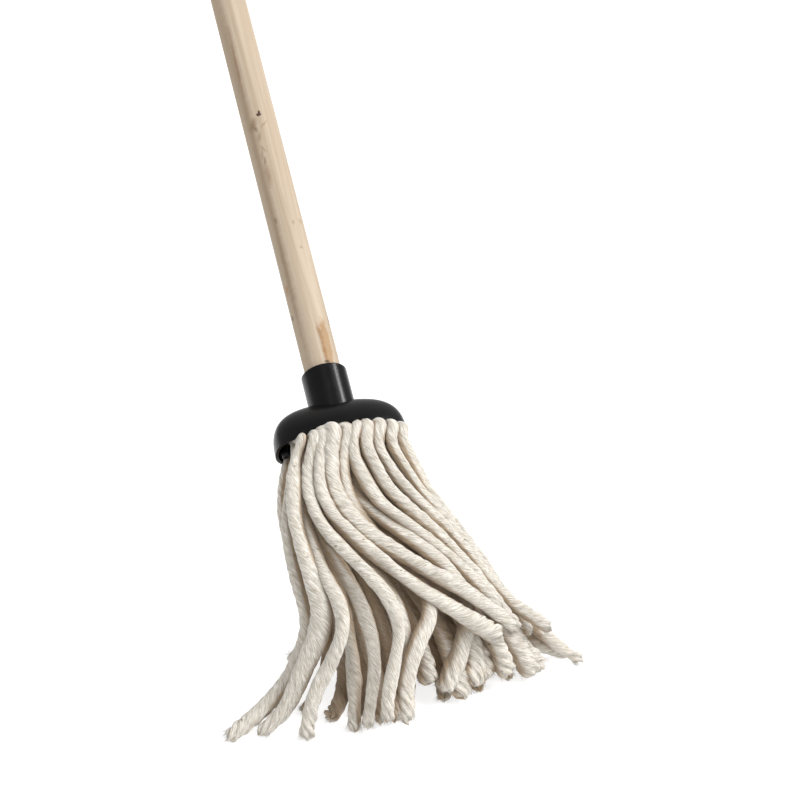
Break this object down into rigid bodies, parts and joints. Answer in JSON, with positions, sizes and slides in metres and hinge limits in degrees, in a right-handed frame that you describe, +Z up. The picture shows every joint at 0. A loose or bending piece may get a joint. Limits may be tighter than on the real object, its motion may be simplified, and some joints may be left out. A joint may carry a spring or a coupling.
{
  "type": "string mop",
  "caption": "Wet mop: a wooden handle screwed into a black socket whose oval hood clamps folded cotton strings that spread on the floor.",
  "frame": {"origin": "on the floor the strings rest on, straight below the middle of the socket's mouth, which is 150 mm up", "axes": "+Z up, +Y level and away from the front, +X to the right seen from the front; the handle leans 48 degrees back from upright and 18 degrees to the left"},
  "size_m": [0.4449, 0.9923, 0.9749],
  "materials": {
    "wood": "raw",
    "black_plastic": "satin",
    "screw_steel": "black zinc",
    "cotton": "matt"
  },
  "bodies": {
    "mop_head": {"socket": "black_plastic", "clamp_bar": "black_plastic", "clamp_screw_left": "screw_steel", "clamp_screw_right": "screw_steel", "string_01": "cotton", "string_02": "cotton", "string_03": "cotton", "string_04": "cotton", "string_05": "cotton", "string_06": "cotton", "string_07": "cotton", "string_08": "cotton", "string_09": "cotton", "string_10": "cotton", "string_11": "cotton", "string_12": "cotton", "string_13": "cotton", "string_14": "cotton", "string_15": "cotton", "string_16": "cotton", "string_17": "cotton", "string_18": "cotton", "string_19": "cotton", "string_20": "cotton", "string_21": "cotton", "string_22": "cotton", "string_23": "cotton", "string_24": "cotton", "string_25": "cotton", "string_26": "cotton"},
    "thread_turn": {"clamp_screw_centre": "screw_steel"},
    "handle": {"handle": "wood"}
  },
  "joints": [
    {"name": "handle_turn", "type": "hinge", "parent": "mop_head", "child": "thread_turn", "pos_m": [0, 0, 0.15], "axis": [-0.2296, 0.7068, 0.6691], "range_deg": [0, 1800]},
    {"name": "handle_advance", "type": "slide", "parent": "thread_turn", "child": "handle", "axis": [-0.2296, 0.7068, 0.6691], "range_m": [0, 0.025]}
  ],
  "couplings": [
    {"joint": "handle_advance", "follows": "handle_turn", "m_per_rad": 0.00079577}
  ]
}
